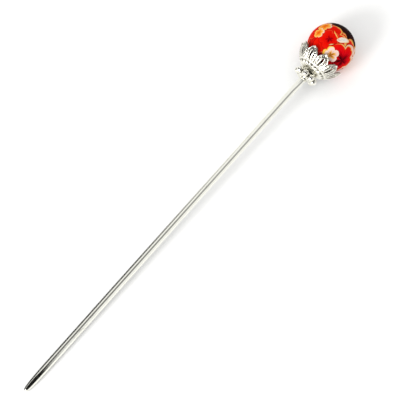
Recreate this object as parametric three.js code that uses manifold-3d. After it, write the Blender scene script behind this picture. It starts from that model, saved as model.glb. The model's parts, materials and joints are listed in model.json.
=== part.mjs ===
// Decorative hair pin: a polished bullet-nosed shaft whose thin tang threads a
// ball rosette, a ten-petal lotus cup and a round glass bead, bonded in place.
// Millimetres. The head is built upright on the Y axis with the bead's centre
// at y = 0, then the whole pin is laid down on its petals and its nose.
import * as THREE from "three";
import { mergeVertices } from "three/addons/utils/BufferGeometryUtils.js";
import Module from "manifold-3d";

const wasm = await Module();
wasm.setup();

// ---- Driving dimensions ----------------------------------------------------
const FIT_GAP = 0.1; // air between two pieces that are threaded on each other

const BEAD_RADIUS = 7;
const BEAD_BORE_RADIUS = 1;
const BORE_CHAMFER = 0.18;

const SHAFT_RADIUS = 1.05;
const SHAFT_LENGTH = 120; // exposed length, nose to shoulder
const NOSE_FLAT_RADIUS = 0.4;
const NOSE_LENGTH = 10; // the bullet nose, from its small flat to the full rod
const TANG_RADIUS = 0.6;
const TANG_RECESS = 0.3; // how far the tang stops short of the bead's top

const CUP_RADIUS = 7.3; // outer sphere that the cup follows
const CUP_CENTRE = -3; // that sphere's centre, below the bead's
const CUP_WALL = 0.75;
const PETALS = 10;
const PETAL_TIP = -4.3;
const PETAL_NOTCH = -6.3; // bottom of the V between two petals
const PETAL_GROOVE = 0.4; // depth of the groove between two petals
const PETAL_FLARE = 0.2; // how far the tips turn outwards
const SLIT_HALF_WIDTH = 0.28; // the pierced slit up the middle of each petal
const SLIT_HALF_LENGTH = 1.4;
const SLIT_ANGLE = 56; // degrees up the cup's sphere from its foot

const ROSETTE_BALLS = 8;
const ROSETTE_BALL_RADIUS = 1;
const ROSETTE_PITCH_RADIUS = 2.85;
const ROSETTE_HEIGHT = 1.9;
const ROSETTE_CORE_RADIUS = 2.3;

const BOND_BED_RADIUS = 3.3; // pool of cured adhesive under the bead

// ---- Derived stations along the axis ---------------------------------------
const cupBase = CUP_CENTRE - CUP_RADIUS;
const rosetteTop = cupBase - FIT_GAP;
const rosetteBase = rosetteTop - ROSETTE_HEIGHT;
const shoulder = rosetteBase - FIT_GAP;
const noseEnd = shoulder - SHAFT_LENGTH;
const boreHalf = Math.sqrt(BEAD_RADIUS ** 2 - (BEAD_BORE_RADIUS + BORE_CHAMFER) ** 2);
const tangEnd = BEAD_RADIUS - TANG_RECESS;
const threadRadius = TANG_RADIUS + FIT_GAP; // holes that ride on the tang

// ---- Materials -------------------------------------------------------------
const metal = (color, roughness) =>
  new THREE.MeshStandardMaterial({ color, roughness, metalness: 1 });
const polishedSilver = metal(0xe6e6e2, 0.08);
const castSilver = metal(0xdedfdc, 0.16);
const redGlass = new THREE.MeshStandardMaterial({ color: 0xc8140c, roughness: 0.06 });
const curedAdhesive = new THREE.MeshStandardMaterial({ color: 0xd8d2b4, roughness: 0.25 });

// ---- Small tools -----------------------------------------------------------
const point = (x, y) => new THREE.Vector2(x, y);

// Points of a circular arc of the XY profile, angles from the -Y direction.
function arc(radius, centre, from, to, steps) {
  return Array.from({ length: steps + 1 }, (_, i) => {
    const a = from + ((to - from) * i) / steps;
    return point(radius * Math.sin(a), centre - radius * Math.cos(a));
  });
}

function part(name, geometry, material) {
  const mesh = new THREE.Mesh(geometry, material);
  mesh.name = name;
  return mesh;
}

function toSolid(geometry) {
  const bare = geometry.clone();
  bare.deleteAttribute("normal");
  bare.deleteAttribute("uv");
  const merged = mergeVertices(bare, 1e-4);
  return new wasm.Manifold(
    new wasm.Mesh({
      numProp: 3,
      vertProperties: new Float32Array(merged.getAttribute("position").array),
      triVerts: new Uint32Array(merged.getIndex().array),
    }),
  );
}

function toGeometry(solid) {
  const { vertProperties, triVerts } = solid.getMesh();
  return new THREE.BufferGeometry()
    .setAttribute("position", new THREE.BufferAttribute(vertProperties, 3))
    .setIndex(new THREE.BufferAttribute(triVerts, 1));
}

// ---- Shaft -----------------------------------------------------------------
// The nose is an ogive: steep at its flat, and tangent to the rod at its base.
function shaftGeometry() {
  const steps = 12;
  const nose = Array.from({ length: steps + 1 }, (_, i) => {
    const x = (i / steps) ** 2;
    const swell = Math.sqrt(1 - (1 - x) ** 3);
    const radius = NOSE_FLAT_RADIUS + (SHAFT_RADIUS - NOSE_FLAT_RADIUS) * swell;
    return point(radius, noseEnd + NOSE_LENGTH * x);
  });
  const profile = [
    point(0, noseEnd),
    ...nose,
    point(SHAFT_RADIUS, shoulder),
    point(TANG_RADIUS, shoulder),
    point(TANG_RADIUS, tangEnd),
    point(0, tangEnd),
  ];
  return new THREE.LatheGeometry(profile, 28);
}

// ---- Bead ------------------------------------------------------------------
function beadGeometry() {
  const mouth = BEAD_BORE_RADIUS + BORE_CHAMFER;
  const pole = Math.asin(mouth / BEAD_RADIUS);
  const profile = [
    point(BEAD_BORE_RADIUS, -boreHalf + BORE_CHAMFER),
    ...arc(BEAD_RADIUS, 0, pole, Math.PI - pole, 20),
    point(BEAD_BORE_RADIUS, boreHalf - BORE_CHAMFER),
    point(BEAD_BORE_RADIUS, -boreHalf + BORE_CHAMFER),
  ];
  return new THREE.LatheGeometry(profile, 40);
}

// ---- Lotus cup -------------------------------------------------------------
// Height of the cup's edge at angle phi: a pointed arch over each petal.
function edgeHeight(phi) {
  const pitch = (2 * Math.PI) / PETALS;
  const across = Math.abs(((phi / pitch) % 1) - 0.5) * 2; // 0 mid-petal, 1 in the notch
  const arch = 0.75 * (1 - across) + 0.25 * Math.sqrt(1 - across ** 2);
  return PETAL_NOTCH + (PETAL_TIP - PETAL_NOTCH) * arch;
}

// A point of the cup: phi round the axis, v from the hub (0) to the edge (1).
function cupPoint(phi, v, wall) {
  const radius = CUP_RADIUS - wall;
  const hub = Math.asin(threadRadius / radius);
  const edge = Math.acos((CUP_CENTRE - edgeHeight(phi)) / radius);
  const angle = hub + (edge - hub) * v;
  const groove = PETAL_GROOVE * ((1 + Math.cos(PETALS * phi)) / 2) * v ** 2;
  const flare = PETAL_FLARE * v ** 6;
  const r = radius * Math.sin(angle) - (wall ? 0 : groove) + flare;
  const y = CUP_CENTRE - radius * Math.cos(angle);
  return [r * Math.sin(phi), y, r * Math.cos(phi)];
}

function cupShell() {
  const around = PETALS * 10;
  const rows = [];
  const outerSteps = 10;
  const innerSteps = 6;
  for (let i = 0; i <= outerSteps; i++) rows.push([i / outerSteps, 0]);
  for (let i = innerSteps; i >= 0; i--) rows.push([i / innerSteps, CUP_WALL]);
  const positions = rows.flatMap(([v, wall]) =>
    Array.from({ length: around }, (_, k) => cupPoint((2 * Math.PI * k) / around, v, wall)).flat(),
  );
  const index = [];
  rows.forEach((_, j) => {
    const next = (j + 1) % rows.length;
    for (let k = 0; k < around; k++) {
      const k1 = (k + 1) % around;
      const [a, b] = [j * around + k, j * around + k1];
      const [c, d] = [next * around + k1, next * around + k];
      index.push(a, b, c, a, c, d);
    }
  });
  return new THREE.BufferGeometry()
    .setAttribute("position", new THREE.Float32BufferAttribute(positions, 3))
    .setIndex(index);
}

// One oval cutter per petal, square to the cup's surface.
function slitCutters() {
  return Array.from({ length: PETALS }, (_, i) => {
    const cutter = new THREE.CylinderGeometry(1, 1, 4 * CUP_WALL, 12);
    cutter.scale(SLIT_HALF_WIDTH, 1, SLIT_HALF_LENGTH);
    cutter.translate(0, -(CUP_RADIUS - CUP_WALL / 2), 0);
    cutter.rotateX(-THREE.MathUtils.degToRad(SLIT_ANGLE));
    cutter.translate(0, CUP_CENTRE, 0);
    cutter.rotateY(((i + 0.5) * 2 * Math.PI) / PETALS);
    return toSolid(cutter);
  });
}

function lotusCupGeometry() {
  const slotted = slitCutters().reduce((cup, cutter) => cup.subtract(cutter), toSolid(cupShell()));
  return toGeometry(slotted);
}

// ---- Ball rosette ----------------------------------------------------------
function rosetteGeometry() {
  const middle = (rosetteTop + rosetteBase) / 2;
  const bulge = ROSETTE_HEIGHT * 0.3;
  const core = new THREE.LatheGeometry(
    [
      point(threadRadius, rosetteBase),
      point(ROSETTE_CORE_RADIUS - 0.9, rosetteBase),
      point(ROSETTE_CORE_RADIUS, middle - bulge),
      point(ROSETTE_CORE_RADIUS, middle + bulge),
      point(ROSETTE_CORE_RADIUS - 0.5, rosetteTop),
      point(threadRadius, rosetteTop),
      point(threadRadius, rosetteBase),
    ],
    24,
  );
  let solid = toSolid(core);
  for (let i = 0; i < ROSETTE_BALLS; i++) {
    const ball = new THREE.SphereGeometry(ROSETTE_BALL_RADIUS, 14, 8);
    ball.translate(0, middle, ROSETTE_PITCH_RADIUS);
    ball.rotateY((i * 2 * Math.PI) / ROSETTE_BALLS);
    solid = solid.add(toSolid(ball));
  }
  return toGeometry(solid);
}

// ---- Adhesive: a pool in the cup and a sleeve up the bead's bore ------------
function bondGeometry() {
  const sleeveRadius = BEAD_BORE_RADIUS - FIT_GAP;
  const underBead = BEAD_RADIUS + FIT_GAP;
  const insideCup = CUP_RADIUS - CUP_WALL - FIT_GAP;
  const poolTop = Math.asin(BOND_BED_RADIUS / underBead);
  const poolNeck = Math.asin(sleeveRadius / underBead);
  const poolEdge = Math.asin(BOND_BED_RADIUS / insideCup);
  const poolFoot = Math.asin(threadRadius / insideCup);
  const sleeveTop = tangEnd - FIT_GAP;
  const profile = [
    ...arc(insideCup, CUP_CENTRE, poolFoot, poolEdge, 6),
    ...arc(underBead, 0, poolTop, poolNeck, 5),
    point(sleeveRadius, sleeveTop),
    point(threadRadius, sleeveTop),
  ];
  return new THREE.LatheGeometry([...profile, profile[0]], 20);
}

// ---- Assembly --------------------------------------------------------------
const shaft = part("shaft", shaftGeometry(), polishedSilver);
const lotusCup = part("lotus_cup", lotusCupGeometry(), castSilver);
const pin = new THREE.Group();
pin.add(
  shaft,
  part("ball_rosette", rosetteGeometry(), castSilver),
  lotusCup,
  part("bead", beadGeometry(), redGlass),
  part("adhesive_bond", bondGeometry(), curedAdhesive),
);

// Lays the pin along +X, bead end raised by tilt, a petal gap facing down.
function lay(tilt) {
  const along = new THREE.Vector3(Math.cos(tilt), 0, Math.sin(tilt));
  const up = new THREE.Vector3(-Math.sin(tilt), 0, Math.cos(tilt));
  const side = new THREE.Vector3().crossVectors(along, up);
  pin.quaternion.setFromRotationMatrix(new THREE.Matrix4().makeBasis(side, along, up));
  pin.updateMatrixWorld(true);
}

const boxOf = (object) => new THREE.Box3().setFromObject(object, true);

// The pin rests where its petals and its nose reach the same height.
let tilt = 0;
const petalsToNose = PETAL_TIP - noseEnd - NOSE_LENGTH;
for (let i = 0; i < 6; i++) {
  lay(tilt);
  tilt += Math.asin((boxOf(shaft).min.z - boxOf(lotusCup).min.z) / petalsToNose);
}
lay(tilt);

const footprint = boxOf(pin);
const centre = footprint.getCenter(new THREE.Vector3());
pin.position.set(-centre.x, -centre.y, -footprint.min.z);

export default pin;
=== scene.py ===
"""Decorative hair pin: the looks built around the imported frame. Metres, +Z up.

The pin lies along +X on its nose and two petals. Its pieces are modelled in pin space:
origin at the bead's centre, Z along the shaft towards the bead, Y away from the floor.
"""

import json
import math

import bmesh
import bpy
import numpy as np
from mathutils import Matrix, Vector


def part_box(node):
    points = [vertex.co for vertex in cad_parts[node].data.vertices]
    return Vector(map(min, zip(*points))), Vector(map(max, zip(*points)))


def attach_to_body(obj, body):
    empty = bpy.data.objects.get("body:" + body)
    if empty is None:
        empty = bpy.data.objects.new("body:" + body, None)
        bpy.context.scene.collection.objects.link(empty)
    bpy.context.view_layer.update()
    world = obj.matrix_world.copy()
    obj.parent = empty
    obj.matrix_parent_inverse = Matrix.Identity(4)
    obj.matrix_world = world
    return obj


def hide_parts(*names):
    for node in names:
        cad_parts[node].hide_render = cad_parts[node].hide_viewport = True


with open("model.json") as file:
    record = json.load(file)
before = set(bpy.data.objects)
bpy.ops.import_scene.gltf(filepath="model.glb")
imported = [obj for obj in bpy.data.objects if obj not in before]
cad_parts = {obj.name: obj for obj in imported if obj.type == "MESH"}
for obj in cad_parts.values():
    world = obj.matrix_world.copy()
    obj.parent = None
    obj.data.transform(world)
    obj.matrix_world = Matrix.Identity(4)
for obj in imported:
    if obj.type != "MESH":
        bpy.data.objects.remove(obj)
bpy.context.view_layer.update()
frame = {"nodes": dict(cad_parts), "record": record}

MM = 0.001

# ---- Pin space, from the frame ---------------------------------------------
nose_mount = frame["record"]["mounts"][0]
along = -Vector(nose_mount["axis"]).normalized()
across = Vector((0, 1, 0))
bead_low, bead_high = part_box("bead")
PIN = Matrix((across, along.cross(across), along)).transposed().to_4x4()
PIN.translation = (bead_low + bead_high) / 2


def measure(node):
    """Where a CAD node starts and ends along the pin, and its largest radius."""
    to_pin = PIN.inverted()
    points = np.array([to_pin @ v.co for v in frame["nodes"][node].data.vertices])
    return points[:, 2].min(), points[:, 2].max(), np.hypot(points[:, 0], points[:, 1]).max()


nose_end, tang_end, SHAFT_RADIUS = measure("shaft")
rosette_foot, rosette_top, ROSETTE_RADIUS = measure("ball_rosette")
cup_foot, cup_tip, CUP_RADIUS = measure("lotus_cup")
BEAD_RADIUS = measure("bead")[2]
BOND_RADIUS = measure("adhesive_bond")[2]

# ---- Sizes of what the frame doesn't say -----------------------------------
FIT_GAP = 0.1 * MM  # between pieces that are threaded on each other
TANG_RADIUS = 0.6 * MM
THREAD_RADIUS = TANG_RADIUS + FIT_GAP

NOSE_FLAT = 0.4 * MM
NOSE_LENGTH = 10 * MM
SHOULDER_ROUND = 0.12 * MM

BORE_RADIUS = 1 * MM
BORE_ROUND = 0.18 * MM

PETALS = 10
PITCH = math.tau / PETALS
CUP_FLARE = 0.2 * MM
CUP_SHEET = 0.42 * MM
RELIEF = 0.22 * MM  # height of the rims and ribs over the petal's field
CROWN = 0.2 * MM  # how far a petal's sides fall away from its middle
CROWN_LOSS = 0.6  # share of the crown that is gone again at the tip
NOTCH_DEPTH = 2 * MM  # from a petal's tip down to the notch beside it
PETAL_CUT = 0.16 * MM  # width of the cut between two petals
CUT_START = math.radians(44)  # how far up the cup's sphere the cuts start
CUT_OPENING = 0.1  # radians over which a cut opens to its full width
ARCH_ROUND = 0.25  # how much of a petal's pointed arch is round; the rest is straight
TIP_HALF_WIDTH = 0.012  # radians

BALLS = 8
BALL_RADIUS = 1 * MM
BALL_RING = ROSETTE_RADIUS - BALL_RADIUS
CORE_RADIUS = 2.3 * MM
CORE_FOOT_RADIUS = 1.4 * MM
CORE_TOP_RADIUS = 1.8 * MM
CORE_BAND = 0.6  # share of the core's height that has its full radius
CAST_BLEND = 0.07 * MM  # voxel that rounds the corners between balls and core
CREVICE_DARK_END = 1.2 * MM  # how far the crevices' dark, partly tarnish and partly painted shade, reaches from the middle of a crevice
CREVICE_DARK_FADE = 0.8 * MM  # over how much of that it fades

BOND_DEPTH = 0.85 * MM  # from the cup's outside to the glue in it
MENISCUS = 0.05 * MM


# ---- Mesh tools ------------------------------------------------------------
def piece(name, points, faces, node, slot, merge=1e-7):
    """A smooth-shaded mesh piece in pin space that stands for a CAD node. Points closer
    together than merge become one."""
    mesh = bpy.data.meshes.new(name)
    mesh.from_pydata([tuple(p) for p in points], [], [tuple(f) for f in faces])
    tidy = bmesh.new()
    tidy.from_mesh(mesh)
    bmesh.ops.remove_doubles(tidy, verts=tidy.verts, dist=merge)
    bmesh.ops.recalc_face_normals(tidy, faces=tidy.faces)
    tidy.to_mesh(mesh)
    tidy.free()
    mesh.shade_smooth()
    made = bpy.data.objects.new(name, mesh)
    bpy.context.scene.collection.objects.link(made)
    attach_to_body(made, "root")
    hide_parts(node)
    return made


def arc(radius, centre, start, end, steps, origin=0.0):
    """(radius, station) points of an arc of a lathe profile. Angles are from the nose's side."""
    angles = np.linspace(start, end, steps + 1)
    return [(origin + radius * math.sin(a), centre - radius * math.cos(a)) for a in angles]


def revolve(profile, segments):
    """Points and faces of a profile turned about the pin's axis; the profile closes on itself."""
    turns = np.linspace(0, math.tau, segments, endpoint=False)
    points = [(r * math.sin(a), r * math.cos(a), z) for r, z in profile for a in turns]
    count = len(profile)
    faces = [
        (
            j * segments + k,
            j * segments + (k + 1) % segments,
            (j + 1) % count * segments + (k + 1) % segments,
            (j + 1) % count * segments + k,
        )
        for j in range(count)
        for k in range(segments)
    ]
    return points, faces


def settle(made):
    """Moves a finished piece from pin space to its place in the frame."""
    made.data.transform(PIN)


def bake_modifiers(made):
    """Replaces an object's mesh by what its modifiers make of it."""
    shown = made.evaluated_get(bpy.context.evaluated_depsgraph_get())
    made.data = bpy.data.meshes.new_from_object(shown)
    made.modifiers.clear()
    made.data.shade_smooth()


def write_recess(mesh, values):
    """Stores how deep in the relief each point lies, from 0 on a crest to 1 in a groove."""
    layer = mesh.attributes.new("recess", "FLOAT", "POINT")
    layer.data.foreach_set("value", np.clip(values, 0, 1).astype(np.float32))


def smooth(low, high, x):
    """Rises smoothly from 0 where x is low to 1 where it is high."""
    x = np.clip((x - low) / (high - low), 0, 1)
    return x * x * (3 - 2 * x)


def ridge(x, middle, width):
    """1 where x is at the middle, falling off like a bell on both sides."""
    return np.exp(-(((x - middle) / width) ** 2))


# ---- Shaft -----------------------------------------------------------------
def make_shaft():
    """A rod with a blunt bullet nose, and a thin tang above its shoulder."""
    shoulder = rosette_foot - FIT_GAP
    nose_base = nose_end + NOSE_LENGTH
    swell = SHAFT_RADIUS - NOSE_FLAT
    ogive = [
        (NOSE_FLAT + swell * math.sqrt(1 - (1 - x) ** 3), nose_end + NOSE_LENGTH * x)
        for x in np.linspace(0, 1, 40) ** 2
    ]
    rod = [(SHAFT_RADIUS, z) for z in np.linspace(nose_base, shoulder - SHOULDER_ROUND, 24)[1:]]
    rounded = arc(
        SHOULDER_ROUND, shoulder - SHOULDER_ROUND, math.pi / 2, math.pi,
        steps=4, origin=SHAFT_RADIUS - SHOULDER_ROUND,
    )
    tang = [(TANG_RADIUS, z) for z in np.linspace(shoulder, tang_end - SHOULDER_ROUND, 6)]
    end = arc(
        SHOULDER_ROUND, tang_end - SHOULDER_ROUND, math.pi / 2, math.pi,
        steps=4, origin=TANG_RADIUS - SHOULDER_ROUND,
    )
    profile = [(0, nose_end), *ogive, *rod, *rounded[1:], *tang, *end[1:], (0, tang_end)]
    return piece("polished_shaft", *revolve(profile, segments=64), "shaft", "polished_plate")


# ---- Bead ------------------------------------------------------------------
def make_bead():
    """A ball with a bore, whose edges are rounded."""
    lip = BORE_RADIUS + BORE_ROUND
    pole = math.asin(lip / BEAD_RADIUS)
    face = BEAD_RADIUS * math.cos(pole)
    low_lip = [
        (lip - BORE_ROUND * math.sin(a), BORE_ROUND * (1 - math.cos(a)) - face)
        for a in np.linspace(math.pi / 2, 0, 5)[:-1]
    ]
    high_lip = [(r, -z) for r, z in reversed(low_lip)]
    outside = arc(BEAD_RADIUS, 0, pole, math.pi - pole, steps=96)
    bore = [(BORE_RADIUS, z) for z in np.linspace(high_lip[-1][1], low_lip[0][1], 12)[1:-1]]
    profile = [*low_lip, *outside, *high_lip, *bore]
    return piece("printed_bead", *revolve(profile, segments=144), "bead", "printed_lacquer")


# ---- Lotus cup -------------------------------------------------------------
class Slit:
    """A lens-shaped opening along a petal: its middle and half width as shares of the
    petal's half width, and the angles up the cup's sphere between which it is open."""

    CLOSED = 0.012  # what is left of the half width where the slit is shut

    def __init__(self, middle, half_width, start, end):
        self.middle = middle
        self.half_width = half_width
        self.start = math.radians(start)
        self.end = math.radians(end)

    def spread(self, psi):
        """Half the slit's width at an angle up the sphere."""
        reach = (2 * psi - self.start - self.end) / (self.end - self.start)
        return self.half_width * max(0, 1 - reach**2) + self.CLOSED

    def opens(self, psi):
        return self.start < psi < self.end


SLITS = (Slit(-0.5, 0.06, 50, 65), Slit(0, 0.15, 44, 68), Slit(0.5, 0.06, 50, 65))
# Lines of points across half a petal, closer together towards its rim.
PETAL_LINES = (0.22, 0.29, 0.36, 0.42, 0.58, 0.66, 0.74, 0.81, 0.87, 0.92, 0.96, 1.0)
CUP_ROWS = 50


class CupShape:
    """The cup's sphere through the CAD cup's foot and petal tips, and its petals' outline."""

    def __init__(self):
        height = cup_tip - cup_foot
        reach = CUP_RADIUS - CUP_FLARE
        self.radius = (reach**2 + height**2) / (2 * height)
        self.centre = cup_foot + self.radius
        self.hub = math.asin(THREAD_RADIUS / self.radius)
        self.tip = self.angle_at(cup_tip)
        self.notch = self.angle_at(cup_tip - NOTCH_DEPTH)

    def angle_at(self, station):
        """The angle up the sphere, from its foot, of a station along the pin."""
        return math.acos((self.centre - station) / self.radius)

    def half_width(self, psi):
        """Half a petal's width in radians round the axis: a pointed arch above the notch."""
        if psi < CUT_START:
            return PITCH / 2
        gap = PETAL_CUT / 2 / (self.radius * math.sin(psi))
        gap *= smooth(CUT_START, CUT_START + CUT_OPENING, psi)
        if psi < self.notch:
            return PITCH / 2 - gap
        share = np.linspace(1, 0, 60)
        arch = (1 - ARCH_ROUND) * (1 - share) + ARCH_ROUND * np.sqrt(1 - share**2)
        rise = (psi - self.notch) / (self.tip - self.notch)
        return (PITCH / 2 - gap) * float(np.interp(rise, arch, share)) + TIP_HALF_WIDTH

    def point(self, azimuth, psi, height):
        """A point over the sphere. The cup flares out a little towards its tips."""
        up = (psi - self.hub) / (self.tip - self.hub)
        r = (self.radius + height) * math.sin(psi) + CUP_FLARE * up**6
        z = self.centre - (self.radius + height) * math.cos(psi)
        return -r * math.sin(azimuth), r * math.cos(azimuth), z

    def recess(self, spots):
        """How deep in the relief each point of the finished cup lies; 1 all over its inside, so the
        whole inside is painted in the darkest groove colour as painted shade.
        """
        reach = np.linalg.norm(spots - (0, 0, self.centre), axis=1)
        psi = np.arccos(np.clip((self.centre - spots[:, 2]) / reach, -1, 1))
        table = np.linspace(self.hub, self.tip, 200)
        widths = np.interp(psi, table, [self.half_width(angle) for angle in table])
        turn = np.arctan2(-spots[:, 0], spots[:, 1]) % PITCH - PITCH / 2
        s = np.clip(turn / widths, -1, 1)
        up = np.clip((psi - self.hub) / (self.tip - self.hub), 0, 1)
        outside = reach > self.radius + petal_height(s, up) - CUP_SHEET / 2
        # Points on the cup's inside get 1: painted shade.
        return np.where(outside, 1 - petal_crest(s, up), 1)


# Between which shares of a petal's length each feature of its relief begins or ends.
HUB_END = (0.08, 0.2)
CROWN_START = (0.2, 0.7)
FLUTES_END = (0.36, 0.46)
LEAF_START = (0.42, 0.52)
SIDE_RIBS_END = (0.76, 0.9)
SLIT_RIMS_END = (0.84, 0.92)
TIP_RIM_START = (0.93, 0.98)
# The middle and the width of each ridge or row, across the petal or up it.
SLIT_RIM = (0.24, 0.06)
INNER_RIB = (0.4, 0.04)
OUTER_RIB = (0.66, 0.05)
SIDE_RIM = (0.9, 0.09)
COLLAR = (0.47, 0.03)
PIT_ROW = (0.4, 0.035)
PIT_WIDTH = 0.2
# Heights and depths are shares of the relief's height.
SIDE_RIB_HEIGHT = 0.8
VEIN_HEIGHT = 0.45
COLLAR_HEIGHT = 0.9
FLUTE_DEPTH = 0.36
PIT_DEPTH = 1.3
PIT_BOTTOM = -0.3
VEINS = 12  # up a whole petal


def petal_crest(s, up):
    """How high the cast relief stands, 0 in a groove to 1 on a crest, at s across a petal
    (0 in its middle, 1 at its side) and up it (0 at the hub, 1 at the tip)."""
    s = np.abs(s)
    rim = np.maximum(ridge(s, *SIDE_RIM), smooth(*TIP_RIM_START, up))
    slit_rims = ridge(s, *SLIT_RIM) * (1 - smooth(*SLIT_RIMS_END, up))
    side_ribs = SIDE_RIB_HEIGHT * np.maximum(ridge(s, *INNER_RIB), ridge(s, *OUTER_RIB))
    side_ribs *= 1 - smooth(*SIDE_RIBS_END, up)
    veins = VEIN_HEIGHT / 2 * (1 + np.cos(math.tau * (VEINS * up - 2 * s)))
    leaf = smooth(*LEAF_START, up) * np.maximum.reduce([rim, slit_rims, side_ribs, veins])
    flutes = 1 - FLUTE_DEPTH / 2 * (1 + np.cos(math.tau * s))
    flutes *= 1 - smooth(*FLUTES_END, up)
    collar = COLLAR_HEIGHT * ridge(up, *COLLAR)
    hub = 1 - smooth(*HUB_END, up)
    crest = np.maximum.reduce([leaf, flutes, collar, hub])
    pits = np.maximum(ridge(s, 0, PIT_WIDTH), ridge(s, 1, PIT_WIDTH)) * ridge(up, *PIT_ROW)
    return np.maximum(crest - PIT_DEPTH * pits, PIT_BOTTOM)


def petal_height(s, up):
    """Height of the cup's outside over its sphere. The highest crests lie on the sphere."""
    fall = CROWN * s**4 * smooth(*CROWN_START, up) * (1 - CROWN_LOSS * up**8)
    return -RELIEF * (1 - petal_crest(s, up)) - fall


def petal_columns(psi):
    """Positions across the petal of its lines of points, with the slits' edges among them."""
    edges = [slit.middle + side * slit.spread(psi) for slit in SLITS for side in (-1, 1)]
    lines = [side * line for line in PETAL_LINES for side in (-1, 1)]
    return sorted(edges + lines)


def make_cup():
    """A sheet of points for each petal, joined at their sides and given a thickness."""
    shape = CupShape()
    angles = np.linspace(shape.hub, shape.tip, CUP_ROWS)
    shut = petal_columns(0)
    columns = len(shut)
    slit_at = {shut.index(slit.middle - slit.spread(0)): slit for slit in SLITS}
    points, faces = [], []
    for petal in range(PETALS):
        first = len(points)
        for psi in angles:
            up = (psi - shape.hub) / (shape.tip - shape.hub)
            for s in petal_columns(psi):
                azimuth = (petal + 0.5) * PITCH + s * shape.half_width(psi)
                points.append(shape.point(azimuth, psi, petal_height(s, up)))
        for j in range(CUP_ROWS - 1):
            for k in range(columns - 1):
                slit = slit_at.get(k)
                if slit and slit.opens(angles[j]) and slit.opens(angles[j + 1]):
                    continue
                corner = first + j * columns + k
                faces.append((corner, corner + 1, corner + columns + 1, corner + columns))
    made = piece("filigree_cup", points, faces, "lotus_cup", "cast_plate", merge=2e-6)
    outward_from(made, Vector((0, 0, shape.centre)))
    solid = made.modifiers.new("sheet", "SOLIDIFY")
    solid.thickness = CUP_SHEET
    solid.offset = -1
    solid.use_even_offset = True
    rounded = made.modifiers.new("rounded", "SUBSURF")
    rounded.levels = 1
    rounded.render_levels = 1
    bake_modifiers(made)
    write_recess(made.data, shape.recess(np.array([v.co for v in made.data.vertices])))
    return made


def outward_from(made, centre):
    """Turns an open sheet's faces away from a point inside it."""
    sheet = bmesh.new()
    sheet.from_mesh(made.data)
    inward = [f for f in sheet.faces if f.normal.dot(f.calc_center_median() - centre) < 0]
    bmesh.ops.reverse_faces(sheet, faces=inward)
    sheet.to_mesh(made.data)
    sheet.free()
    made.data.shade_smooth()


# ---- Ball rosette ----------------------------------------------------------
def make_rosette():
    """Balls sunk into a turned core, cast as one."""
    middle = (rosette_foot + rosette_top) / 2
    band = (rosette_top - rosette_foot) * CORE_BAND
    core = [
        (THREAD_RADIUS, rosette_foot),
        (CORE_FOOT_RADIUS, rosette_foot),
        (CORE_RADIUS, middle - band / 2),
        (CORE_RADIUS, middle + band / 2),
        (CORE_TOP_RADIUS, rosette_top),
        (THREAD_RADIUS, rosette_top),
    ]
    made = piece("cast_rosette", *revolve(core, segments=64), "ball_rosette", "cast_plate")
    centres = [
        Vector((-BALL_RING * math.sin(a), BALL_RING * math.cos(a), middle))
        for a in np.linspace(0, math.tau, BALLS, endpoint=False)
    ]
    casting = bmesh.new()
    casting.from_mesh(made.data)
    for centre in centres:
        bmesh.ops.create_icosphere(
            casting, subdivisions=4, radius=BALL_RADIUS, matrix=Matrix.Translation(centre)
        )
    casting.to_mesh(made.data)
    casting.free()
    fused = made.modifiers.new("fused", "REMESH")
    fused.mode = "VOXEL"
    fused.voxel_size = CAST_BLEND
    polished = made.modifiers.new("polished", "SMOOTH")
    polished.factor = 0.5
    polished.iterations = 4
    bake_modifiers(made)
    # Points near the crevices between the balls take the dark groove colour: partly tarnish, partly
    # painted shade.
    spots = np.array([v.co for v in made.data.vertices])
    crevices = [(a + b) / 2 for a, b in zip(centres, centres[1:] + centres[:1])]
    away = np.min([np.linalg.norm(spots - np.array(c), axis=1) for c in crevices], axis=0)
    write_recess(made.data, (CREVICE_DARK_END - away) / CREVICE_DARK_FADE)
    return made


# ---- Adhesive --------------------------------------------------------------
def make_bond():
    """The pool between cup and bead, and the sleeve round the tang in the bead's bore."""
    shape = CupShape()
    sleeve = BORE_RADIUS - FIT_GAP
    under_bead = BEAD_RADIUS + FIT_GAP
    inside_cup = shape.radius - BOND_DEPTH
    foot = math.asin(THREAD_RADIUS / inside_cup)
    brim = math.asin(BOND_RADIUS / inside_cup)
    pool_edge = math.asin(BOND_RADIUS / under_bead)
    bore_edge = math.asin(sleeve / under_bead)
    meniscus = tang_end - 2 * FIT_GAP
    profile = [
        *arc(inside_cup, shape.centre, foot, brim, steps=16),
        *arc(under_bead, 0, pool_edge, bore_edge, steps=16),
        (sleeve, meniscus),
        ((sleeve + THREAD_RADIUS) / 2, meniscus - MENISCUS),
        (THREAD_RADIUS, meniscus),
    ]
    return piece("glue_fillet", *revolve(profile, segments=48), "adhesive_bond", "clear_epoxy")


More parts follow.
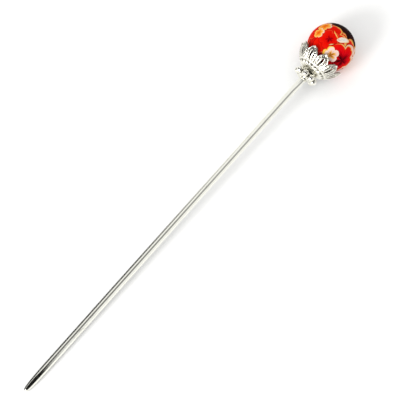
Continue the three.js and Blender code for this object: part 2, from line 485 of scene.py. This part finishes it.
# ---- Shader tools ----------------------------------------------------------
class Field:
    """A value that varies over a surface. Arithmetic on it adds nodes to its tree."""

    def __init__(self, tree, socket):
        self.tree = tree
        self.socket = socket

    def node(self, kind, *inputs, out=0, **settings):
        """An output of a new node with its first inputs and its settings filled in."""
        made = self.tree.nodes.new(kind)
        for key, value in settings.items():
            setattr(made, key, value)
        for socket, value in zip(made.inputs, inputs):
            feed(self.tree, socket, value)
        return Field(self.tree, made.outputs[out])

    def math(self, operation, *others):
        """This and others through a Math node."""
        return self.node("ShaderNodeMath", self, *others, operation=operation)

    def __add__(self, other):
        return self.math("ADD", other)

    def __sub__(self, other):
        return self.math("SUBTRACT", other)

    def __mul__(self, other):
        return self.math("MULTIPLY", other)

    def __pow__(self, other):
        return self.math("POWER", other)

    def dot(self, direction):
        """How far this position lies along a direction."""
        made = self.tree.nodes.new("ShaderNodeVectorMath")
        made.operation = "DOT_PRODUCT"
        feed(self.tree, made.inputs[0], self)
        made.inputs[1].default_value = direction
        return Field(self.tree, made.outputs["Value"])

    def step(self, low, high):
        """Rises smoothly from 0 where this is low to 1 where it is high. Low may be the larger."""
        return self.node("ShaderNodeMapRange", self, low, high, interpolation_type="SMOOTHSTEP")

    def join(self, y, z):
        """A vector of this and two more values."""
        return self.node("ShaderNodeCombineXYZ", self, y, z)

    def ramp(self, stops):
        """The colour that (position, colour) stops give for this value."""
        made = self.tree.nodes.new("ShaderNodeValToRGB")
        feed(self.tree, made.inputs[0], self)
        elements = made.color_ramp.elements
        while len(elements) < len(stops):
            elements.new(1)
        for element, (position, colour) in zip(elements, stops):
            element.position = position
            element.color = (*colour, 1)
        return Field(self.tree, made.outputs[0])

    def blend(self, first, second):
        """first where this is 0, second where it is 1; both are colours."""
        made = self.tree.nodes.new("ShaderNodeMix")
        made.data_type = "RGBA"
        feed(self.tree, made.inputs["Factor"], self)
        feed(self.tree, made.inputs[6], first)
        feed(self.tree, made.inputs[7], second)
        return Field(self.tree, made.outputs[2])


def feed(tree, socket, value):
    """Sets a socket to a number or colour, or links a field to it."""
    if isinstance(value, Field):
        tree.links.new(value.socket, socket)
    elif isinstance(value, tuple) and len(value) == 3 and socket.type == "RGBA":
        socket.default_value = (*value, 1)
    else:
        socket.default_value = value


def new_material(name, **constants):
    """A material with one Principled shader, its constant sockets set, and its tree's
    object-space position in pin space."""
    material = bpy.data.materials.new(name)
    material.use_nodes = True
    tree = material.node_tree
    shader = tree.nodes["Principled BSDF"]
    for key, value in constants.items():
        feed(tree, shader.inputs[key.replace("_", " ")], value)
    place = tree.nodes.new("ShaderNodeTexCoord")
    to_pin = tree.nodes.new("ShaderNodeMapping")
    to_pin.vector_type = "TEXTURE"
    to_pin.inputs["Location"].default_value = PIN.translation
    to_pin.inputs["Rotation"].default_value = PIN.to_euler()
    tree.links.new(place.outputs["Object"], to_pin.inputs["Vector"])
    return material, shader, Field(tree, to_pin.outputs["Vector"])


def noise(place, scale, detail=3, roughness=0.5, stretch=(1, 1, 1), out=0):
    """Noise over a position, with scale cells to each unit of it. stretch lengthens the cells."""
    tree = place.tree
    if stretch != (1, 1, 1):
        scaled = tree.nodes.new("ShaderNodeVectorMath")
        scaled.operation = "DIVIDE"
        feed(tree, scaled.inputs[0], place)
        scaled.inputs[1].default_value = stretch
        place = Field(tree, scaled.outputs[0])
    made = tree.nodes.new("ShaderNodeTexNoise")
    feed(tree, made.inputs["Vector"], place)
    made.inputs["Scale"].default_value = scale
    made.inputs["Detail"].default_value = detail
    made.inputs["Roughness"].default_value = roughness
    return Field(tree, made.outputs[out])


def attach(shader, place, **links):
    """Links fields to a shader's sockets, named with _ for each space."""
    for key, field in links.items():
        feed(place.tree, shader.inputs[key.replace("_", " ")], field)


def bump(place, height, distance, strength=1.0):
    """The normal of a surface with fine relief, where height 1 stands distance high."""
    made = place.tree.nodes.new("ShaderNodeBump")
    made.inputs["Strength"].default_value = strength
    made.inputs["Distance"].default_value = distance
    feed(place.tree, made.inputs["Height"], height)
    return Field(place.tree, made.outputs[0])


# ---- Metal and glue materials ----------------------------------------------
SILVER = (0.88, 0.875, 0.8)
DULL_SILVER = (0.8, 0.79, 0.71)
CAST_SILVER = (0.87, 0.855, 0.775)
WARM_SILVER = (0.58, 0.56, 0.48)
# Darkest groove colour: partly tarnish, partly painted shade in the relief's hollows.
TARNISH_AND_SHADE = (0.08, 0.075, 0.06)
EPOXY = (0.74, 0.7, 0.56)
DEEP_EPOXY = (0.6, 0.54, 0.38)


def polished_plate():
    """Mirror plate with fine lengthwise polishing lines and faint handling marks."""
    material, shader, place = new_material("polished_silver_plate", Metallic=1.0)
    lines = noise(place, 5200, detail=4, stretch=(1, 1, 60))
    marks = noise(place, 420, detail=5, roughness=0.6)
    worn = marks.step(0.5, 0.72)
    attach(
        shader,
        place,
        Base_Color=(worn * 0.6).blend(SILVER, DULL_SILVER),
        Roughness=lines * 0.05 + worn * 0.05 + 0.035,
        Normal=bump(place, lines, 0.004 * MM, 0.25),
    )
    return material


def cast_plate():
    """Bright plate over a cast relief: mirror crests, and duller, warmer, darker grooves, whose dark
    is partly tarnish and partly painted shade.
    """
    material, shader, place = new_material("cast_silver_plate", Metallic=1.0)
    depth = place.node("ShaderNodeAttribute", out=2, attribute_name="recess")
    grain = noise(place, 2600, detail=4)
    mottle = noise(place, 700, detail=3)
    # Deeper in the relief the plate is painted darker: partly tarnish, partly painted shade.
    groove = depth.step(0.25, 1.0) * (mottle.step(0.3, 0.7) * 0.3 + 0.7)
    attach(
        shader,
        place,
        Base_Color=groove.ramp(((0, CAST_SILVER), (0.5, WARM_SILVER), (1.0, TARNISH_AND_SHADE))),
        Roughness=grain * 0.1 + groove * 0.2 + 0.13,
        Normal=bump(place, grain, 0.02 * MM, 0.35),
    )
    return material


def clear_epoxy():
    """Cured adhesive, slightly yellow, with small bubbles."""
    material, shader, place = new_material("cured_epoxy", Coat_Weight=0.5)
    cloud = noise(place, 900, detail=4)
    bubbles = noise(place, 3800, detail=1).step(0.66, 0.74)
    attach(
        shader,
        place,
        Base_Color=cloud.blend(EPOXY, DEEP_EPOXY),
        Roughness=bubbles * 0.3 + 0.16,
        Normal=bump(place, bubbles, 0.03 * MM, 0.6),
    )
    return material


# ---- The bead's print ------------------------------------------------------
INNER_TIER = 0.58  # size of a flower's inner ring of petals against its outer one
GOLD = (0.68, 0.36, 0.07)
ORANGE = (0.8, 0.28, 0.09)
SCARLET = (0.66, 0.01, 0.003)
DEEP_RED = (0.09, 0.0, 0.004)
BLACK = (0.002, 0.003, 0.003)
RED_BLACK = (0.01, 0.0, 0.001)

# A palette gives a petal's colours from its rim (0) to the flower's heart (1).
RED = (
    (0.0, GOLD),
    (0.03, ORANGE),
    (0.08, SCARLET),
    (0.5, (0.62, 0.004, 0.001)),
    (0.86, (0.54, 0.0, 0.001)),
    (0.93, DEEP_RED),
)
HEART_RED = (
    (0.0, (0.75, 0.06, 0.015)),
    (0.06, (0.66, 0.008, 0.003)),
    (0.6, (0.6, 0.003, 0.001)),
    (0.72, (0.4, 0.0, 0.002)),
    (0.82, DEEP_RED),
)
CRIMSON = (
    (0.0, (0.74, 0.5, 0.42)),
    (0.08, (0.72, 0.44, 0.33)),
    (0.12, (0.74, 0.4, 0.08)),
    (0.17, (0.66, 0.007, 0.003)),
    (0.45, (0.58, 0.002, 0.006)),
    (0.66, (0.26, 0.0, 0.003)),
    (0.85, (0.05, 0.0, 0.002)),
)
CALYX = (
    (0.0, GOLD),
    (0.015, ORANGE),
    (0.03, SCARLET),
    (0.44, (0.58, 0.004, 0.001)),
    (0.58, DEEP_RED),
    (0.62, BLACK),
)
CREAM = (
    (0.0, (0.78, 0.42, 0.05)),
    (0.05, (0.76, 0.52, 0.28)),
    (0.14, (0.75, 0.58, 0.48)),
    (0.45, (0.7, 0.5, 0.44)),
    (0.62, (0.68, 0.32, 0.05)),
    (0.85, (0.34, 0.1, 0.01)),
)
AMBER = (
    (0.0, (0.8, 0.56, 0.42)),
    (0.12, (0.82, 0.46, 0.11)),
    (0.4, (0.8, 0.29, 0.025)),
    (0.7, (0.74, 0.11, 0.006)),
    (0.95, (0.6, 0.02, 0.002)),
)
STAMEN = (
    (0.0, (0.05, 0.02, 0.0)),
    (0.3, (0.3, 0.2, 0.07)),
    (0.6, (0.7, 0.5, 0.25)),
    (1.0, (0.8, 0.6, 0.35)),
)
VEIN = (
    (0.0, (0.75, 0.15, 0.02)),
    (0.3, (0.8, 0.4, 0.07)),
    (1.0, (0.82, 0.56, 0.24)),
)
LEAF = (
    (0.0, (0.7, 0.28, 0.07)),
    (0.15, (0.74, 0.58, 0.43)),
    (0.6, (0.74, 0.69, 0.63)),
    (1.0, (0.54, 0.56, 0.5)),
)


class Flower:
    """One printed flower. around and north are degrees on the bead: round the pin's axis
    from its top, and towards the bead's far end. size is a share of the bead's radius, and
    slim narrows the flower across its spin direction. notch is how deep it is cut between
    petals. lean is how much wider its rim is on the side that its spin direction faces. A
    heart is the palette of a smaller ring of petals over the first."""

    def __init__(self, around, north, size, spin, palette,
                 petals=5, notch=0.27, slim=1.0, lean=0.09, heart=None):
        self.petals = petals
        self.notch = notch
        self.lean = lean
        self.tiers = [palette, heart] if heart else [palette]
        self.scale = Vector((size, size * slim, size))
        turn = math.radians(around)
        rise = math.radians(north)
        self.out = Vector((
            -math.sin(turn) * math.cos(rise),
            math.cos(turn) * math.cos(rise),
            math.sin(rise),
        ))
        facing = self.out.to_track_quat("Z", "Y").to_matrix()
        self.axes = facing @ Matrix.Rotation(math.radians(spin), 3, "Z")


# The print repeats after half a turn. A flower across the join is listed at both ends.
FACE = math.radians(12)  # the middle of the half that is listed
FLOWERS = (
    Flower(0, -90, 1.86, 9, CALYX, petals=10, notch=0.06, lean=0.035),
    Flower(102, 3, 0.7, 200, RED, heart=HEART_RED),
    Flower(-78, 3, 0.7, 200, RED, heart=HEART_RED),
    Flower(-6, 0, 0.74, 30, RED, heart=HEART_RED),
    Flower(55, -15, 0.76, 20, CRIMSON, lean=0.19),
    Flower(84, 27, 0.25, 0, CREAM),
    Flower(21, 21, 0.3, 43, LEAF, petals=1, notch=0, slim=0.42),
    Flower(-1, 18, 0.22, -26, VEIN, petals=1, notch=0, slim=0.1),
    Flower(21, -26, 0.35, 201, CREAM, lean=0.3),
    Flower(6, -7, 0.13, 52, STAMEN, petals=1, notch=0, slim=0.2),
    Flower(-43, 23, 0.3, 90, AMBER, lean=0.2),
    Flower(-39, 0, 0.25, 40, AMBER, lean=0.15),
)
SHADOW = (0.05, 0.0, 0.002)
SHADOW_REACH = 0.1  # how far a petal's shadow spreads, as a share of the flower's size
SHADOW_STRENGTH = 0.5
SOFT_EDGE = 0.02
MIDWAY = 0.5  # how far from a petal's middle its neighbour starts, in petals
SEAM_START = 0.44
SEAM_RIM = (0.06, 0.3)  # how far in from the petals' rim a seam comes up
SEAM_STRENGTH = 0.45
STREAKS_PER_PETAL = 8
WANDER = 0.07  # how far the drawing wanders, as a share of the bead's radius


def paint_flower(under, place, flower):
    """Lays a flower's tiers of petals over the colour under it, with a shadow round each."""
    tree = place.tree
    for tier, palette in enumerate(flower.tiers):
        spot = flower_space(place, flower, tier)
        r = spot.node("ShaderNodeVectorMath", spot, operation="LENGTH", out=1)
        x = spot.node("ShaderNodeSeparateXYZ", spot, out=0)
        y = Field(tree, x.socket.node.outputs[1])
        turn = y.math("ARCTAN2", x) * (flower.petals / math.tau)
        off_middle = turn.math("PINGPONG", MIDWAY)
        inside = (off_middle ** 3) * (-flower.notch / MIDWAY**3) + 1 - r
        shadow = spot.node("ShaderNodeMapRange", inside, -SHADOW_REACH, SOFT_EDGE, 0, SHADOW_STRENGTH)
        under = shadow.blend(under, SHADOW)
        tone = (inside * streaks(turn, r) - x * flower.lean).ramp(palette)
        seam = off_middle.step(SEAM_START, MIDWAY) * inside.step(*SEAM_RIM)
        tone = (seam * SEAM_STRENGTH).blend(tone, DEEP_RED)
        under = inside.step(0, SOFT_EDGE).blend(under, tone)
    return under


def flower_space(place, flower, tier):
    """Position in a flower's own space, where a tier of its petals has a radius of 1."""
    tree = place.tree
    local = tree.nodes.new("ShaderNodeMapping")
    local.vector_type = "TEXTURE"
    axes = flower.axes @ Matrix.Rotation(tier * math.pi / flower.petals, 3, "Z")
    local.inputs["Location"].default_value = flower.out
    local.inputs["Rotation"].default_value = axes.to_euler()
    local.inputs["Scale"].default_value = flower.scale * INNER_TIER**tier
    feed(tree, local.inputs["Vector"], place)
    return Field(tree, local.outputs[0])


def streaks(turn, r):
    """How fast a petal's colours follow each other, in streaks from its rim to its heart."""
    joined = turn.node("ShaderNodeCombineXYZ", turn * STREAKS_PER_PETAL, r * 1.5)
    return noise(joined, 1.0, detail=2) * 1.3 + 0.35


def printed_lacquer():
    """Red and cream flowers with gold edges on black, under clear lacquer. The drawing is
    folded over at the pin's axis, so that both halves of the bead show the same flowers."""
    material, shader, place = new_material(
        "flower_print_under_lacquer",
        Specular_IOR_Level=0.0,
        Coat_Weight=0.1,
        Coat_Roughness=0.015,
        Coat_IOR=1.2,
        Roughness=0.4,
    )
    unit = place.node("ShaderNodeVectorMath", place, operation="NORMALIZE")
    facing = unit.dot((-math.sin(FACE), math.cos(FACE), 0)).math("SIGN")
    folded = unit.node("ShaderNodeVectorMath", unit, facing.join(facing, 1), operation="MULTIPLY")
    drift = noise(unit, 5, detail=2, out=1)
    drawn = unit.node("ShaderNodeVectorMath", drift, (WANDER,) * 3, folded, operation="MULTIPLY_ADD")
    colour = noise(unit, 9, detail=3).step(0.5, 0.7).blend(BLACK, RED_BLACK)
    for flower in FLOWERS:
        colour = paint_flower(colour, drawn, flower)
    ripple = noise(place, 260, detail=2)
    attach(shader, place, Base_Color=colour, Coat_Normal=bump(place, ripple, 0.02 * MM, 0.3))
    return material


# ---- Floor, light and camera -----------------------------------------------
CAMERA_AZIMUTH = math.radians(-49.15)
CAMERA_ELEVATION = math.radians(72)
CAMERA_DISTANCE = 0.9
FRAME_WIDTH = 113.4 * MM  # what the picture spans at the pin
AIM_RIGHT = 3.3 * MM  # from the pin's middle to the picture's middle
AIM_UP = 2.13 * MM

KEY_ELEVATION = math.radians(34)
KEY_DRIFT = 0.11  # how far left of the shaft's line the lamp stands, as a share of its distance
KEY_DISTANCE = 0.9
KEY_SIZE = 0.36
KEY_POWER = 4.1

FLOOR_SIZE = 6
CARD = (0.92, 0.92, 0.91)
CARD_FIBRE = (0.9, 0.9, 0.89)

# Left and right are as seen looking from the nose to the bead. The floor is painted black in a strip
# left of the shaft's nose half, for reflected rays only: a painted reflection of shade in polished
# metal. Each pair is the place where the strip starts and the place where it is fully dark.
STRIP_NEAR = (0.4 * MM, 1.2 * MM)
STRIP_FAR = (45 * MM, 25 * MM)
STRIP_START = (-35 * MM, -90 * MM)

# What it reflects of the tent has dark parts too. Each pair is where such a part starts and
# where it is fully dark, in degrees: a turn goes round the pin from overhead to the right,
# and a lean from straight above the pin towards the bead.
MOUTH_LEFT = (-38, -32)
MOUTH_RIGHT = (64, 58)
MOUTH_START = (7.15, 6.6)
MOUTH_END = (-42, -18)
FLARE_START = (6.2, 3)
FLARE = 25  # how much further left the mouth reaches where it flares
BACK_START = (18, 26)
BACK_DARKNESS = 0.6
GAP_LEFT = (-26, -20)
GAP_RIGHT = (26, 20)
GAP_START = (3, 5)
GAP_DARKNESS = 0.8
GAP_FADE = (8, 12)
GAP_LOSS = 0.2  # how much less dark the gap is where it has faded
GAP_CENTRE = 10.2  # the lean where the gap crosses overhead
GAP_SLANT = 4  # turn for each degree of lean
SKIRTING_EDGE = (-70, -76)
SKIRTING_START = (12.6, 10)
SKIRTING_END = (-45, -30)
TENT_STRENGTH = 1.01
WHITE = (1.0, 1.0, 1.0)
DARK_CLOTH = (0.01, 0.01, 0.01)
RELIT_LOSS = 0.6  # how much is held back of the light that metal throws on to matt things


def view_axes():
    """The camera's right, up and backward directions."""
    right = Vector((math.cos(CAMERA_AZIMUTH), math.sin(CAMERA_AZIMUTH), 0))
    back = Vector((
        math.sin(CAMERA_AZIMUTH) * math.cos(CAMERA_ELEVATION),
        -math.cos(CAMERA_AZIMUTH) * math.cos(CAMERA_ELEVATION),
        math.sin(CAMERA_ELEVATION),
    ))
    return right, back.cross(right), back


def make_camera():
    """A camera without shift that looks straight at the aim."""
    right, up, back = view_axes()
    nose = PIN @ Vector((0, 0, nose_end))
    far = PIN @ Vector((0, 0, BEAD_RADIUS))
    aim = (nose + far) / 2 + AIM_RIGHT * right + AIM_UP * up
    camera = bpy.data.objects.new("camera", bpy.data.cameras.new("camera"))
    camera.data.lens = camera.data.sensor_width * CAMERA_DISTANCE / FRAME_WIDTH
    camera.data.clip_start = 0.01
    camera.matrix_world = Matrix((right, up, back)).transposed().to_4x4()
    camera.matrix_world.translation = aim + CAMERA_DISTANCE * back
    bpy.context.scene.collection.objects.link(camera)
    bpy.context.scene.camera = camera


def reflected(tree):
    """1 where something polished reflects a surface, 0 where it is seen or lit directly."""
    return Field(tree, tree.nodes.new("ShaderNodeLightPath").outputs["Is Glossy Ray"])


def relit(tree):
    """1 for light that reaches a matt surface, such as the floor, by way of a polished one."""
    return Field(tree, tree.nodes.new("ShaderNodeLightPath").outputs["Diffuse Depth"]).step(0, 1)


def make_floor():
    """A sheet of pale card. For reflected rays only, it is painted black in a strip left of the
    shaft's nose half and darker for light that came by way of polished metal: painted shade that
    shows in the metal's reflections and deepens contact shadows.
    """
    half = FLOOR_SIZE / 2
    corners = [(-half, -half, 0), (half, -half, 0), (half, half, 0), (-half, half, 0)]
    mesh = bpy.data.meshes.new("floor")
    mesh.from_pydata(corners, [], [(0, 1, 2, 3)])
    floor = bpy.data.objects.new("floor", mesh)
    bpy.context.scene.collection.objects.link(floor)
    material, shader, place = new_material("pale_card", Specular_IOR_Level=0.2)
    tree = place.tree
    fibre = noise(place, 900, detail=4)
    left = place.dot((1, 0, 0))
    strip = left.step(*STRIP_NEAR) * left.step(*STRIP_FAR)
    strip = strip * place.dot((0, 0, 1)).step(*STRIP_START)
    # Painted reflection and painted shade: the card turns dark where metal reflects the strip, and
    # for light that metal throws on to it.
    dark = strip.math("MAXIMUM", relit(tree) * RELIT_LOSS) * reflected(tree)
    card = fibre.blend(CARD, CARD_FIBRE)
    attach(shader, place, Base_Color=dark.blend(card, BLACK), Roughness=fibre * 0.1 + 0.6)
    mesh.materials.append(material)


def make_key_light():
    """A lamp beyond the nose, nearly in line with the shaft, that throws the head's shadow
    past it."""
    towards = Vector((-math.cos(KEY_ELEVATION), KEY_DRIFT, math.sin(KEY_ELEVATION))).normalized()
    data = bpy.data.lights.new("key", "AREA")
    data.shape = "DISK"
    data.size = KEY_SIZE
    data.energy = KEY_POWER
    key = bpy.data.objects.new("key", data)
    key.location = PIN.translation + towards * KEY_DISTANCE
    key.rotation_euler = (-towards).to_track_quat("-Z", "Y").to_euler()
    bpy.context.scene.collection.objects.link(key)


def dark_mouth(turn, lean):
    """The tent's open front, over the nose and flaring to its left, and its dim back."""
    flare = lean.step(*FLARE_START) * FLARE
    width = (turn + flare).step(*MOUTH_LEFT) * turn.step(*MOUTH_RIGHT)
    front = lean.step(*MOUTH_START) * lean.step(*MOUTH_END)
    return width * (front + lean.step(*BACK_START) * BACK_DARKNESS)


def dark_gap(turn, lean):
    """The gap between the tent's panels, which crosses over the pin at a slant."""
    slanted = turn - (lean - GAP_CENTRE) * GAP_SLANT
    width = slanted.step(*GAP_LEFT) * slanted.step(*GAP_RIGHT)
    return width * lean.step(*GAP_START) * (lean.step(*GAP_FADE) * -GAP_LOSS + GAP_DARKNESS)


def dark_skirting(turn, lean):
    """What is dark above the floor on the pin's left."""
    return turn.step(*SKIRTING_EDGE) * lean.step(*SKIRTING_START) * lean.step(*SKIRTING_END)


def make_surround():
    """A white tent, whose dark parts only show where polished metal reflects them."""
    world = bpy.data.worlds.new("tent")
    world.use_nodes = True
    tree = world.node_tree
    direction = tree.nodes.new("ShaderNodeTexCoord")
    place = Field(tree, direction.outputs["Generated"])
    back = view_axes()[2]
    overhead = (back - back.dot(along) * along).normalized()
    rightwards = along.cross(overhead)
    turn = place.dot(rightwards).math("ARCTAN2", place.dot(overhead)) * math.degrees(1)
    lean = place.dot(along).math("ARCSINE") * math.degrees(1)
    dark = dark_mouth(turn, lean)
    dark = dark.math("MAXIMUM", dark_gap(turn, lean))
    dark = dark.math("MAXIMUM", dark_skirting(turn, lean))
    dark = dark.math("MAXIMUM", relit(tree) * RELIT_LOSS) * reflected(tree)
    background = tree.nodes["Background"]
    feed(tree, background.inputs["Color"], dark.blend(WHITE, DARK_CLOTH))
    background.inputs["Strength"].default_value = TENT_STRENGTH
    bpy.context.scene.world = world
    bpy.context.scene.view_settings.view_transform = "Standard"


# ---- Assembly --------------------------------------------------------------
silver_cast = cast_plate()
for made, material in (
    (make_shaft(), polished_plate()),
    (make_rosette(), silver_cast),
    (make_cup(), silver_cast),
    (make_bead(), printed_lacquer()),
    (make_bond(), clear_epoxy()),
):
    settle(made)
    made.data.materials.clear()
    made.data.materials.append(material)

make_camera()
make_floor()
make_key_light()
make_surround()

bpy.context.view_layer.update()
